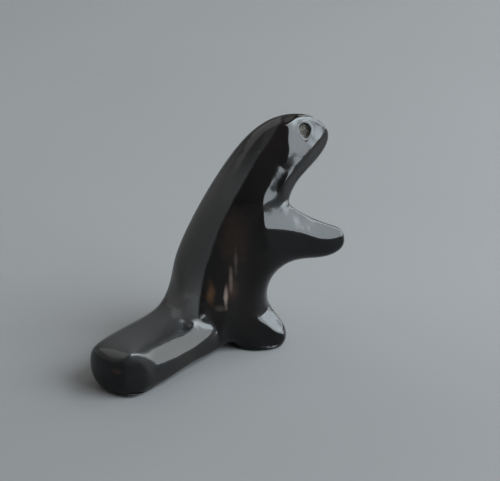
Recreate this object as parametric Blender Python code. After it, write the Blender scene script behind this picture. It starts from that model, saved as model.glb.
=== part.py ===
"""A small hand-modelled clay beaver that stands upright on its joined hind feet and its paddle tail.

The figure is one solid piece of clay. A cage of four-sided faces runs from the tail's tip, up the body and
over the head to the snout, and the joined forepaws and the joined hind feet grow out of its front. The
cage is smoothed, cut flat where the clay rested while it dried, and pierced by two poked eyes.
"""
import math
from dataclasses import dataclass

import bmesh
import bpy
from mathutils import Matrix, Vector

# Sizes in metres
HEIGHT = 0.0650            # floor to the crown of the head, less what smoothing takes off
BODY_WIDTH = 0.0158        # across the flanks
HEAD_WIDTH = 0.0102        # across the cheeks
TAIL_LENGTH = 0.0391       # from the body's middle plane to the tail's tip
TAIL_WIDTH = 0.0186
TAIL_THICKNESS = 0.0120
PAW_REACH = 0.0254         # from the body's upright axis to the tips of the joined forepaws
PAW_DEPTH = 0.0112         # top to bottom of the joined forepaws at their middle
PAW_WIDTH = 0.0096         # across the joined forepaws
PAW_LEVEL = 0.0291         # floor to the middle of the joined forepaws
FEET_REACH = 0.0122        # from the body's upright axis to the toes
FEET_WIDTH = 0.0156        # across the joined hind feet
FEET_DEPTH = 0.0085        # floor to the top of the toes
EYE_WIDTH = 0.0034
EYE_HEIGHT = 0.0044
EYE_DEPTH = 0.0021

# Angles in degrees
TAIL_SWEEP = 53.3          # the tail turns this far from straight back, to the figure's right
HEAD_TURN = 14.0           # the face looks this far to the figure's left

# Places are thousandths of the height: forward of the body's upright axis, up from the floor, to the left
SHARE = HEIGHT / 1000.0

# A smoothed ring of cage points lies inside its cage by this share
RING_SLACK = 1.05

# Each ring has its rear point, five points down each side and its front point
FRONT = 6
SMOOTH_LEVELS = 2

# The block that cuts the underside flat at the floor
FLOOR_CUT = 0.2


@dataclass(frozen=True)
class Ring:
    """A section through the body.

    back and front are places of its rear and front points. hip and head are the shares of the body's and
    the head's width that make up its own width. ridge and valley are the widths of the narrow front ridge
    and of the hollow beside it, as shares of the ring's width. aside moves the ring to the left. sweep and
    turn are the shares of the tail's sweep and of the head's turn that the ring takes. side is the ring's
    own side, where it has no hollow: depth down the section and share of the half width, for each point.
    """

    back: tuple
    front: tuple
    hip: float = 0.0
    head: float = 0.0
    ridge: float = 0.0
    valley: float = 0.0
    aside: float = 0.0
    sweep: float = 0.0
    turn: float = 0.0
    side: tuple = ()


@dataclass(frozen=True)
class Eye:
    """A poked eye.

    forward, up and aside place it on the head's own axis. side is 1 on the left and -1 on the right, tilt is
    its angle up from level, and reach is how far out the clay's surface is, as a share of half the head.
    """

    forward: float
    up: float
    aside: float
    side: int
    tilt: float
    reach: float


# The sides of the head's rings: narrow at the crown, wide at the cheeks
NAPE_SIDE = ((0.05, 0.42), (0.23, 0.78), (0.48, 1.00), (0.72, 1.04), (0.93, 0.70))
CHEEK_SIDE = ((0.05, 0.36), (0.22, 0.68), (0.48, 0.90), (0.76, 1.00), (0.93, 0.66))
MUZZLE_SIDE = ((0.05, 0.34), (0.22, 0.62), (0.50, 0.88), (0.78, 0.98), (0.94, 0.60))

# From the rump up to the snout
BODY_RINGS = (
    Ring(back=(-306, 198), front=(-192, 4), hip=1.16, ridge=0.76, valley=0.94, aside=-76, sweep=0.74),
    Ring(back=(-318, 282), front=(-96, 28), hip=1.02, ridge=0.84, valley=0.96, aside=-8, sweep=0.26),
    Ring(back=(-308, 357), front=(16, 49), hip=1.01, ridge=0.88, valley=0.95),
    Ring(back=(-281, 435), front=(66, 160), hip=1.02, ridge=0.74, valley=0.80),
    Ring(back=(-246, 515), front=(70, 286), hip=1.04, ridge=0.66, valley=0.66),
    Ring(back=(-197, 615), front=(113, 440), hip=1.02, ridge=0.92, valley=0.86),
    Ring(back=(-142, 714), front=(148, 618), hip=0.84, head=0.22, ridge=0.62, valley=0.84),
    Ring(back=(-76, 821), front=(182, 715), hip=0.50, head=0.56, ridge=0.58, valley=0.88),
    Ring(back=(2, 924), front=(240, 784), hip=0.20, head=0.86, aside=-4, turn=0.2, side=NAPE_SIDE),
    Ring(back=(99, 989), front=(286, 840), head=0.94, aside=4, turn=0.7, side=CHEEK_SIDE),
    Ring(back=(196, 994), front=(307, 878), head=0.60, aside=18, turn=1.0, side=MUZZLE_SIDE),
)

# Depth down the section and share of its half width, for the points of a side before the valley
FLANK = ((0.05, 0.54), (0.24, 0.94), (0.55, 0.98))
VALLEY_DEPTH = 0.71
RIDGE_DEPTH = 0.93

# The tail's sections: distance out along it, width and thickness, as shares of its own sizes
TAIL_STATIONS = (
    (0.965, 0.82, 0.96),
    (0.890, 1.00, 1.07),
    (0.70, 1.03, 1.07),
    (0.50, 1.00, 1.06),
    (0.31, 0.97, 1.06),
)
TAIL_ROOT = (-194, 0)
TAIL_SIDE = ((0.03, 0.54), (0.155, 0.92), (0.50, 1.03), (0.83, 0.89), (0.965, 0.53))
TAIL_END = 0.055
TAIL_END_DEPTHS = (0.22, 0.50, 0.78)

# The last points of the snout, from the brow to the chin
SNOUT = ((258, 991, 24), (308, 964, 28), (331, 920, 26))

# The forepaws' sections: reach, middle height, depth and width, as shares of their own sizes
PAW_STATIONS = ((0.42, 1.09, 1.28, 1.24), (0.76, 0.998, 0.89, 1.02), (0.955, 1.03, 0.54, 0.86))
PAW_TIP = 1.015
PAW_ROWS = (4, 5, 6)

# The feet's sections: heel, its height, toe, its height and width, as shares of their own sizes
FEET_STATIONS = ((1.00, 0.01, 0.67, 0.72, 1.06), (0.76, -0.23, 1.00, 0.0, 1.08))
FEET_ROWS = (1, 2, 3)
HEEL = -84
SOLE_DROP = 0.34

# A limb's corner points: share of its half width, and how far they lie in from its top and bottom
LIMB_CORNER = 0.77
PAW_BEVEL = 0.60
LIMB_SHOULDER = 0.20

EYES = (
    Eye(forward=198, up=932, aside=12, side=-1, tilt=24.0, reach=0.84),
    Eye(forward=262, up=940, aside=22, side=1, tilt=50.0, reach=0.72),
)
EYE_POINTS = 20

# How much the lower half of an eye narrows to its point, and its sections: depth and size, as shares
EYE_NARROWING = 0.5
EYE_STATIONS = ((1.0, 1.25), (0.0, 1.0), (-0.6, 0.82), (-1.0, 0.45))


def place(forward, up, aside=0.0):
    """Turns a place in thousandths of the height into a point."""
    return Vector((forward * SHARE, aside * SHARE, up * SHARE))


def leftward(degrees):
    """The level direction to the left of a section that is turned about the upright axis."""
    angle = math.radians(degrees)
    return Vector((-math.sin(angle), math.cos(angle), 0.0))


def section(top, bottom, across, side_shape):
    """The points round one section: its top, down the right side, its bottom and up the left side."""
    middle = (top + bottom) / 2.0
    top = middle + (top - middle) * RING_SLACK
    bottom = middle + (bottom - middle) * RING_SLACK
    reach = across * RING_SLACK
    right = [top.lerp(bottom, depth) - reach * share for depth, share in side_shape]
    left = [top.lerp(bottom, depth) + reach * share for depth, share in reversed(side_shape)]
    return [top] + right + [bottom] + left


def body_sections():
    """The body's sections from the rump to the snout."""
    sections = []
    for ring in BODY_RINGS:
        back = place(*ring.back, ring.aside)
        front = place(*ring.front, ring.aside)
        half_width = (BODY_WIDTH * ring.hip + HEAD_WIDTH * ring.head) / 2.0
        across = leftward(TAIL_SWEEP * ring.sweep + HEAD_TURN * ring.turn) * half_width
        side_shape = ring.side or FLANK + ((VALLEY_DEPTH, ring.valley), (RIDGE_DEPTH, ring.ridge))
        sections.append(section(back, front, across, side_shape))
    return sections


def tail_sections():
    """The paddle tail's sections from its tip to the rump."""
    across = leftward(TAIL_SWEEP) * TAIL_WIDTH / 2.0
    sections = []
    for along, width, thickness in TAIL_STATIONS:
        middle = tail_point(along)
        half_thickness = Vector((0.0, 0.0, TAIL_THICKNESS * thickness / 2.0))
        sections.append(section(middle + half_thickness, middle - half_thickness, across * width, TAIL_SIDE))
    return sections


def tail_point(along):
    """A point on the tail's middle line, at a share of its length from its root."""
    backward = leftward(TAIL_SWEEP + 90.0)
    return place(*TAIL_ROOT) + backward * TAIL_LENGTH * along + Vector((0.0, 0.0, TAIL_THICKNESS / 2.0))


def skin(bm, sections):
    """Makes the points of every section and joins each section to the next with four-sided faces."""
    loops = [[bm.verts.new(point) for point in points] for points in sections]
    for lower, upper in zip(loops, loops[1:]):
        join(bm, lower, upper)
    return loops


def join(bm, lower, upper):
    """Joins two closed loops of points with a band of four-sided faces."""
    count = len(lower)
    for i in range(count):
        j = (i + 1) % count
        bm.faces.new((lower[i], lower[j], upper[j], upper[i]))


def close_end(bm, loop, middle):
    """Closes the last loop of the body with two columns of faces that meet on a middle line."""
    column = [loop[0]] + [bm.verts.new(point) for point in middle] + [loop[FRONT]]
    right = loop[1:FRONT]
    left = loop[:FRONT:-1]
    for edge in (right, left):
        for i in range(len(column) - 1):
            bm.faces.new((column[i], edge[i], edge[i + 1], column[i + 1]))


def grow_limb(bm, loops, sections, tip):
    """Draws a limb out of the two middle columns of front faces between three loops of the body."""
    low, mid, high = loops
    right, left = FRONT - 1, FRONT + 1
    root = [low[right], low[FRONT], low[left], mid[left], high[left], high[FRONT], high[right], mid[right]]
    bmesh.ops.delete(bm, geom=[mid[FRONT]], context="VERTS")
    for points in sections:
        loop = [bm.verts.new(point) for point in points]
        join(bm, root, loop)
        root = loop
    end = bm.verts.new(tip)
    for i in range(0, len(root), 2):
        bm.faces.new((root[i - 1], root[i], root[i + 1], end))


def limb_section(bottom, top, half_width, upper_corner=LIMB_CORNER):
    """The eight points round a limb, from its lower right corner."""
    middle = (bottom + top) / 2.0
    across = Vector((0.0, half_width, 0.0))
    corner = across * LIMB_CORNER
    low = bottom.lerp(middle, LIMB_SHOULDER)
    high = top.lerp(middle, LIMB_SHOULDER)
    lower = [low - corner, bottom, low + corner, middle + across]
    upper_reach = across * upper_corner
    upper = [high + upper_reach, top, high - upper_reach, middle - across]
    return lower + upper


def paws(bm, loops):
    """The joined forepaws, held out in front of the chest."""
    sections = []
    for reach, level, depth, width in PAW_STATIONS:
        middle = Vector((PAW_REACH * reach, 0.0, PAW_LEVEL * level))
        half_depth = Vector((0.0, 0.0, PAW_DEPTH * depth / 2.0))
        half_width = PAW_WIDTH * width / 2.0
        sections.append(limb_section(middle - half_depth, middle + half_depth, half_width, PAW_BEVEL))
    tip = Vector((PAW_REACH * PAW_TIP, 0.0, PAW_LEVEL))
    grow_limb(bm, [loops[row] for row in PAW_ROWS], sections, tip)


def feet(bm, loops):
    """The joined hind feet, one block whose sole is drawn below the floor and cut flat there."""
    rear = HEEL * SHARE
    sections = []
    for heel, heel_height, toe, toe_height, width in FEET_STATIONS:
        back = Vector((rear * heel, 0.0, FEET_DEPTH * heel_height))
        front = Vector((FEET_REACH * toe, 0.0, FEET_DEPTH * toe_height))
        sections.append(limb_section(back, front, FEET_WIDTH * width / 2.0))
    sole = Vector(((rear + FEET_REACH) / 2.0, 0.0, -FEET_DEPTH * SOLE_DROP))
    grow_limb(bm, [loops[row] for row in FEET_ROWS], sections, sole)


def cage_mesh():
    """The whole cage, from the tail's tip to the snout, with its limbs."""
    bm = bmesh.new()
    tail = tail_sections()
    loops = skin(bm, tail + body_sections())
    beyond = tail_point(1.0) - tail_point(1.0 - TAIL_END)
    top, bottom = tail[0][0], tail[0][FRONT]
    close_end(bm, loops[0], [top.lerp(bottom, depth) + beyond for depth in TAIL_END_DEPTHS])
    close_end(bm, loops[-1], [place(*point) for point in SNOUT])
    body = loops[len(tail):]
    feet(bm, body)
    paws(bm, body)
    bmesh.ops.recalc_face_normals(bm, faces=bm.faces)
    mesh = bpy.data.meshes.new("beaver")
    bm.to_mesh(mesh)
    bm.free()
    mesh.shade_smooth()
    return mesh


def eye_outline(right, upward):
    """The points round an eye: rounded above and drawn to a point below."""
    points = []
    for i in range(EYE_POINTS):
        angle = 2.0 * math.pi * i / EYE_POINTS
        pointed = 1.0 - EYE_NARROWING * max(0.0, math.cos(angle)) ** 2
        across = math.sin(angle) * pointed * EYE_WIDTH / 2.0
        height = -math.cos(angle) * EYE_HEIGHT / 2.0
        points.append(right * across + upward * height)
    return points


def eye_cutter(eye):
    """The space that the poking tool left."""
    tilt = math.radians(eye.tilt)
    outward = Vector((0.0, eye.side * math.cos(tilt), math.sin(tilt)))
    forward = Vector((1.0, 0.0, 0.0))
    for direction in (outward, forward):
        direction.rotate(Matrix.Rotation(math.radians(HEAD_TURN), 3, "Z"))
    upward = outward.cross(forward) * eye.side
    surface = place(eye.forward, eye.up, eye.aside) + outward * HEAD_WIDTH / 2.0 * eye.reach
    outline = eye_outline(forward, upward)
    bm = bmesh.new()
    sections = []
    for depth, size in EYE_STATIONS:
        sections.append([surface + outward * depth * EYE_DEPTH + point * size for point in outline])
    loops = skin(bm, sections)
    bm.faces.new(loops[0])
    bm.faces.new(loops[-1])
    bmesh.ops.recalc_face_normals(bm, faces=bm.faces)
    mesh = bpy.data.meshes.new("eye poke")
    bm.to_mesh(mesh)
    bm.free()
    return mesh


def floor_cutter():
    """Everything below the floor."""
    bm = bmesh.new()
    bmesh.ops.create_cube(bm, size=FLOOR_CUT)
    bmesh.ops.translate(bm, verts=bm.verts, vec=(0.0, 0.0, -FLOOR_CUT / 2.0))
    mesh = bpy.data.meshes.new("floor cut")
    bm.to_mesh(mesh)
    bm.free()
    return mesh


def add_object(name, mesh, parent):
    """Puts a mesh in the scene under the figure's empty."""
    piece = bpy.data.objects.new(name, mesh)
    piece.parent = parent
    bpy.context.scene.collection.objects.link(piece)
    return piece


def cut_away(piece, name, mesh):
    """Cuts a hidden shape out of a piece."""
    cutter = add_object(name, mesh, piece.parent)
    cutter.hide_render = True
    cutter.display_type = "WIRE"
    cut = piece.modifiers.new(name, "BOOLEAN")
    cut.operation = "DIFFERENCE"
    cut.solver = "EXACT"
    cut.object = cutter


def black_clay():
    """Burnished clay that was blackened in a smoky fire."""
    clay = bpy.data.materials.new("black_clay")
    clay.use_nodes = True
    surface = clay.node_tree.nodes["Principled BSDF"]
    surface.inputs["Base Color"].default_value = (0.012, 0.010, 0.009, 1.0)
    surface.inputs["Roughness"].default_value = 0.24
    surface.inputs["Metallic"].default_value = 0.0
    return clay


def centre_on_floor(stand, piece):
    """Moves the figure so that the middle of its footprint is the origin."""
    bpy.context.view_layer.update()
    shown = piece.evaluated_get(bpy.context.evaluated_depsgraph_get())
    corners = [shown.matrix_world @ Vector(corner) for corner in shown.bound_box]
    for axis in (0, 1):
        places = [corner[axis] for corner in corners]
        stand.location[axis] = -(min(places) + max(places)) / 2.0


def main():
    for old in list(bpy.data.objects):
        bpy.data.objects.remove(old, do_unlink=True)
    stand = bpy.data.objects.new("stand", None)
    bpy.context.scene.collection.objects.link(stand)
    beaver = add_object("beaver", cage_mesh(), stand)
    beaver.data.materials.append(black_clay())
    smooth = beaver.modifiers.new("smooth clay", "SUBSURF")
    smooth.levels = SMOOTH_LEVELS
    smooth.render_levels = SMOOTH_LEVELS
    cut_away(beaver, "flat underside", floor_cutter())
    for eye in EYES:
        cut_away(beaver, "eye", eye_cutter(eye))
    centre_on_floor(stand, beaver)


main()
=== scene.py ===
"""Looks of a hand-modelled clay beaver: burnished black clay on a plain grey table, lit by a window."""

import logging
import math
from collections.abc import Callable, Iterable
from dataclasses import dataclass
from enum import Enum

import bmesh
import bpy
import numpy as np
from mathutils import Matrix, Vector
from mathutils.bvhtree import BVHTree

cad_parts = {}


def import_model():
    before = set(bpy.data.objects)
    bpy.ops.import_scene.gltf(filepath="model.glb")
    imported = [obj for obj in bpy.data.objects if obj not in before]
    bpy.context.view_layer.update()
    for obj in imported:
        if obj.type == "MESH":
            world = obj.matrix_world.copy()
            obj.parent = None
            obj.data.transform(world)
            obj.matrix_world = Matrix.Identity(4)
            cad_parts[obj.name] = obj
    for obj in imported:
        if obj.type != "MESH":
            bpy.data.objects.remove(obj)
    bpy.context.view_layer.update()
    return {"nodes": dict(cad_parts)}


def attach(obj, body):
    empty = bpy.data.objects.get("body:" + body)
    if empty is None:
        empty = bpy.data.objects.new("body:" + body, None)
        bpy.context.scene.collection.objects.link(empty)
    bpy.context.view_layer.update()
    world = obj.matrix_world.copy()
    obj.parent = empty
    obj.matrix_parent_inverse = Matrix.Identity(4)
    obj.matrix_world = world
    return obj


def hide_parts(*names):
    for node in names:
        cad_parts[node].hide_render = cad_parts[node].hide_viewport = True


LOG = logging.getLogger("clay_beaver")
MM = 0.001
TINY = 1e-30
FIGURE_NODE = "beaver"
FIGURE_BODY = "root"
# How far the middle of the picture lies from the frame's origin, in millimetres.
STAND = (8.099, 13.107)
Colour = tuple[float, float, float]
Point = tuple[float, float, float]
Socket = bpy.types.NodeSocket
Sockets = bpy.types.bpy_prop_collection
Pockets = list[tuple[Vector, Vector]]


class Side(Enum):
    """The two sides of the head that carry an eye."""

    RIGHT = "right"
    LEFT = "left"


@dataclass(frozen=True)
class Facet:
    """One place that was burnished with its own slope, as it is seen in the picture.

    Attributes:
        name: What the place is.
        outline: Its corners on the picture, in pixels from the top left.
        facing: The direction that its middle faces.
        soft: Width in pixels of the band in which it passes into the clay around it.
        weight: How firmly the clay keeps to the slope.
        turn: How much the direction changes for each pixel to the right.
    """

    name: str
    outline: tuple[tuple[float, float], ...]
    facing: Point
    soft: float
    weight: float = 1.0
    turn: Point = (0.0, 0.0, 0.0)


@dataclass(frozen=True)
class Rub:
    """One place where the clay was rubbed rounder.

    Attributes:
        name: What the place is.
        centre: Its middle, in millimetres from the middle of the picture.
        reach: How far it reaches along each axis, in millimetres.
        times: How often it was rubbed.
        weight: How much of the way a point goes to the middle of its neighbours each time.
    """

    name: str
    centre: Point
    reach: Point
    times: int
    weight: float = 0.5


class NodeSheet:
    """A node tree with short ways to add and join its nodes."""

    def __init__(self, tree: bpy.types.NodeTree) -> None:
        """Takes the tree that the nodes go into."""
        self.tree = tree

    def add(self, kind: str, **values: object) -> bpy.types.Node:
        """Adds a node and sets its properties and inputs.

        Args:
            kind: Blender's name for the node type.
            **values: Properties by name, or inputs by name with spaces as underscores.

        Returns:
            The new node.
        """
        node = self.tree.nodes.new(kind)
        for key, value in values.items():
            if hasattr(node, key) and key not in node.inputs:
                setattr(node, key, value)
            else:
                self.join(value, node.inputs[key.replace("_", " ")])
        return node

    def join(self, value: object, entry: Socket) -> None:
        """Joins an output to an input, or writes a plain value into it.

        Args:
            value: A socket, a number, a vector or a colour.
            entry: The input.
        """
        if isinstance(value, Socket):
            self.tree.links.new(value, entry)
        elif isinstance(value, tuple) and entry.type == "RGBA":
            entry.default_value = (*value, 1.0)
        else:
            entry.default_value = value

    def sums(self, operation: str, first: object, second: object, clamp: bool = False) -> Socket:
        """Adds one sum of two values.

        Args:
            operation: The kind of sum.
            first: A socket or a number.
            second: A socket or a number.
            clamp: Whether the result stays between nought and one.

        Returns:
            The output of the sum.
        """
        node = self.add("ShaderNodeMath", operation=operation, use_clamp=clamp)
        self.join(first, node.inputs[0])
        self.join(second, node.inputs[1])
        return node.outputs[0]

    def total(self, *parts: tuple[Socket, float]) -> Socket:
        """Adds up values times their shares, and keeps the result between nought and one.

        Args:
            *parts: Each value and its share.

        Returns:
            The output of the last sum.
        """
        result = 0.0
        for value, share in parts:
            result = self.sums("ADD", result, self.sums("MULTIPLY", value, share), clamp=True)
        return result

    def vectors(self, operation: str, *values: Socket) -> Sockets:
        """Adds one sum of vectors.

        Args:
            operation: The kind of sum.
            *values: The vectors.

        Returns:
            The outputs of the sum.
        """
        node = self.add("ShaderNodeVectorMath", operation=operation)
        for value, entry in zip(values, node.inputs):
            self.join(value, entry)
        return node.outputs

    def noise(self, place: Socket, scale: object, detail: float, roughness: float = 0.5,
              distortion: float = 0.0) -> Socket:
        """Adds drifting noise.

        Args:
            place: Where the noise is read.
            scale: How fine it is, as a socket or a number.
            detail: How many finer layers it has.
            roughness: How much the finer layers count.
            distortion: How much it is twisted.

        Returns:
            The noise's value.
        """
        return self.add("ShaderNodeTexNoise", Vector=place, Scale=scale, Detail=detail, Roughness=roughness,
                        Distortion=distortion).outputs[0]

    def bump(self, height: Socket, strength: float, distance: float, **below: Socket) -> Socket:
        """Adds a bump.

        Args:
            height: How high the surface stands.
            strength: How much of the bump is seen.
            distance: How high it is at a height of one, in metres.
            **below: The bump that it lies on, as Normal.

        Returns:
            The changed normal.
        """
        node = self.add("ShaderNodeBump", Height=height, Strength=strength, Distance=distance, **below)
        return node.outputs[0]

    def spread(self, value: Socket, low: object, high: object, start: float = 0.0,
               end: float = 1.0) -> Socket:
        """Maps a value from one range to another, smoothly and clamped.

        Args:
            value: The socket with the value.
            low: Where the first range starts, as a socket or a number.
            high: Where the first range ends, as a socket or a number.
            start: What low becomes.
            end: What high becomes.

        Returns:
            The mapped value.
        """
        node = self.add("ShaderNodeMapRange", interpolation_type="SMOOTHSTEP", Value=value, From_Min=low,
                        From_Max=high, To_Min=start, To_Max=end)
        return node.outputs["Result"]

    def blend(self, factor: object, first: object, second: object) -> Socket:
        """Mixes two colours.

        Args:
            factor: A socket or a number from nought to one.
            first: The colour at nought.
            second: The colour at one.

        Returns:
            The mixed colour.
        """
        node = self.add("ShaderNodeMix", data_type="RGBA", clamp_factor=True)
        for value, index in ((factor, 0), (first, 6), (second, 7)):
            self.join(value, node.inputs[index])
        return node.outputs[2]


class EffectGroup:
    """A shader node group that is built once and placed in more than one material.

    Attributes:
        title: The group's name.
        entries: Its inputs and their first values, where no value stands for a vector.
        results: Its outputs.
    """

    title = "effect"
    entries: dict[str, float | None] = {}
    results: tuple[str, ...] = ("Mask",)

    def tree(self) -> bpy.types.NodeTree:
        """Finds the group's tree, and builds it the first time.

        Returns:
            The tree.
        """
        known = bpy.data.node_groups.get(self.title)
        if known is not None:
            return known
        tree = bpy.data.node_groups.new(self.title, "ShaderNodeTree")
        for name, value in self.entries.items():
            kind = "NodeSocketVector" if value is None else "NodeSocketFloat"
            socket = tree.interface.new_socket(name=name, in_out="INPUT", socket_type=kind)
            if value is not None:
                socket.default_value = value
        for name in self.results:
            tree.interface.new_socket(name=name, in_out="OUTPUT", socket_type="NodeSocketFloat")
        sheet = NodeSheet(tree)
        ends = self.fill(sheet, sheet.add("NodeGroupInput").outputs)
        for end, entry in zip(ends, sheet.add("NodeGroupOutput").inputs):
            sheet.join(end, entry)
        return tree

    def fill(self, sheet: NodeSheet, given: Sockets) -> tuple[Socket, ...]:
        """Builds the group's nodes.

        Args:
            sheet: The group's node sheet.
            given: The group's inputs.

        Returns:
            The sockets that go out.
        """
        raise NotImplementedError

    def place(self, sheet: NodeSheet, **values: object) -> Sockets:
        """Places the group in a material with its own values.

        Args:
            sheet: The material's node sheet.
            **values: The group's inputs by name, with spaces as underscores.

        Returns:
            The group's outputs.
        """
        return sheet.add("ShaderNodeGroup", node_tree=self.tree(), **values).outputs


class CloudsGroup(EffectGroup):
    """Soft drifting patches, as smoke leaves them on fired clay."""

    title = "smoke clouds"
    entries = {"Place": None, "Size": 60.0, "Cover": 0.5, "Softness": 0.15}

    def fill(self, sheet: NodeSheet, given: Sockets) -> tuple[Socket, ...]:
        """Builds drifting noise and cuts it to a soft mask.

        Args:
            sheet: The group's node sheet.
            given: The group's inputs.

        Returns:
            The mask.
        """
        broad = sheet.noise(given["Place"], given["Size"], 2.0, 0.45, 0.4)
        low = sheet.sums("SUBTRACT", given["Cover"], given["Softness"])
        high = sheet.sums("ADD", given["Cover"], given["Softness"])
        return (sheet.spread(broad, low, high),)


class StrokesGroup(EffectGroup):
    """Long fine strokes that a burnishing stone leaves along the clay."""

    title = "stone strokes"
    entries = {"Place": None, "Across": 2600.0, "Along": 130.0, "Turn": 0.0}
    results = ("Height", "Mask")

    def fill(self, sheet: NodeSheet, given: Sockets) -> tuple[Socket, ...]:
        """Builds noise that is drawn out along one direction, and thin lines picked from it.

        Args:
            sheet: The group's node sheet.
            given: The group's inputs.

        Returns:
            The height and the mask.
        """
        turned = sheet.add("ShaderNodeVectorRotate", rotation_type="Y_AXIS", Vector=given["Place"],
                           Angle=given["Turn"])
        scale = sheet.add("ShaderNodeCombineXYZ", X=given["Across"], Y=given["Across"], Z=given["Along"])
        drawn = sheet.vectors("MULTIPLY", turned.outputs[0], scale.outputs[0])
        noise = sheet.noise(drawn[0], 1.0, 3.0, 0.6)
        return noise, sheet.spread(noise, 0.60, 0.72)


class GrainGroup(EffectGroup):
    """Fine uneven grain, as of clay, paper or paint."""

    title = "fine grain"
    entries = {"Place": None, "Fineness": 2500.0, "Coarse Share": 0.4}
    results = ("Height", "Pits")

    def fill(self, sheet: NodeSheet, given: Sockets) -> tuple[Socket, ...]:
        """Builds fine and coarse noise, and small round pits.

        Args:
            sheet: The group's node sheet.
            given: The group's inputs.

        Returns:
            The height and the mask of the pits.
        """
        fine = sheet.noise(given["Place"], given["Fineness"], 4.0, 0.6)
        wide = sheet.sums("MULTIPLY", given["Fineness"], 0.22)
        coarse = sheet.noise(given["Place"], wide, 2.0)
        share = sheet.sums("MULTIPLY", coarse, given["Coarse Share"])
        cells = sheet.add("ShaderNodeTexVoronoi", Vector=given["Place"], Scale=wide, Randomness=1.0)
        pits = sheet.spread(cells.outputs["Distance"], 0.05, 0.16, 1.0, 0.0)
        return sheet.sums("ADD", fine, share), pits


class SpecksGroup(EffectGroup):
    """Sparse light dust specks."""

    title = "dust specks"
    entries = {"Place": None, "Spacing": 300.0, "Radius": 0.06, "Share": 0.12}

    def fill(self, sheet: NodeSheet, given: Sockets) -> tuple[Socket, ...]:
        """Builds cells, keeps a few of them, and puts one small speck in each.

        Args:
            sheet: The group's node sheet.
            given: The group's inputs.

        Returns:
            The mask.
        """
        cells = sheet.add("ShaderNodeTexVoronoi", Vector=given["Place"], Scale=given["Spacing"],
                          Randomness=1.0)
        chance = sheet.add("ShaderNodeSeparateColor", Color=cells.outputs["Color"]).outputs[0]
        kept = sheet.sums("LESS_THAN", chance, given["Share"])
        near = sheet.sums("LESS_THAN", cells.outputs["Distance"], given["Radius"])
        return (sheet.sums("MULTIPLY", kept, near),)


class StainAndGlintGroup(EffectGroup):
    """One soft uneven spot, used for stains and for painted highlights."""

    title = "soft stain"
    entries = {"Place": None, "Centre": None, "Reach": None}

    def fill(self, sheet: NodeSheet, given: Sockets) -> tuple[Socket, ...]:
        """Builds the distance from the spot's middle, breaks it up with noise and fades it out.

        Args:
            sheet: The group's node sheet.
            given: The group's inputs.

        Returns:
            The mask.
        """
        offset = sheet.vectors("SUBTRACT", given["Place"], given["Centre"])
        share = sheet.vectors("DIVIDE", offset[0], given["Reach"])
        length = sheet.vectors("LENGTH", share[0])["Value"]
        noise = sheet.noise(given["Place"], 420.0, 3.0)
        uneven = sheet.sums("MULTIPLY", sheet.sums("SUBTRACT", noise, 0.5), 0.9)
        return (sheet.spread(sheet.sums("ADD", length, uneven), 0.10, 1.0, 1.0, 0.0),)


def stood(place: Point) -> Point:
    """Turns a place in millimetres from the middle of the picture into metres in the figure's own frame."""
    return ((place[0] + STAND[0]) * MM, (place[1] + STAND[1]) * MM, place[2] * MM)


def scaled(reach: Point) -> Point:
    """Turns sizes in millimetres into metres."""
    return (reach[0] * MM, reach[1] * MM, reach[2] * MM)


def new_material(name: str) -> tuple[bpy.types.Material, NodeSheet, bpy.types.Node, Socket]:
    """Starts a material with one Principled shader and the object's own place as a vector.

    Args:
        name: The material's name.

    Returns:
        The material, its node sheet, its shader node and the place vector.
    """
    material = bpy.data.materials.new(name)
    material.use_nodes = True
    sheet = NodeSheet(material.node_tree)
    shader = next(n for n in material.node_tree.nodes if n.type == "BSDF_PRINCIPLED")
    place = sheet.add("ShaderNodeTexCoord").outputs["Object"]
    return material, sheet, shader, place


@dataclass(frozen=True)
class StainAndGlint:
    """One place with its own colour: mostly where the fire or a hand left its colour on the clay, and in a
    few places a painted highlight.

    Attributes:
        name: What the place is.
        centre: Its middle, in millimetres from the middle of the picture.
        reach: How far it reaches along each axis, in millimetres.
        colour: The colour in its middle, the clay's own in a stain and the painted highlight's in a glint.
        strength: How much of that colour the clay takes.
    """

    name: str
    centre: Point
    reach: Point
    colour: Colour
    strength: float = 1.0


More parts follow.
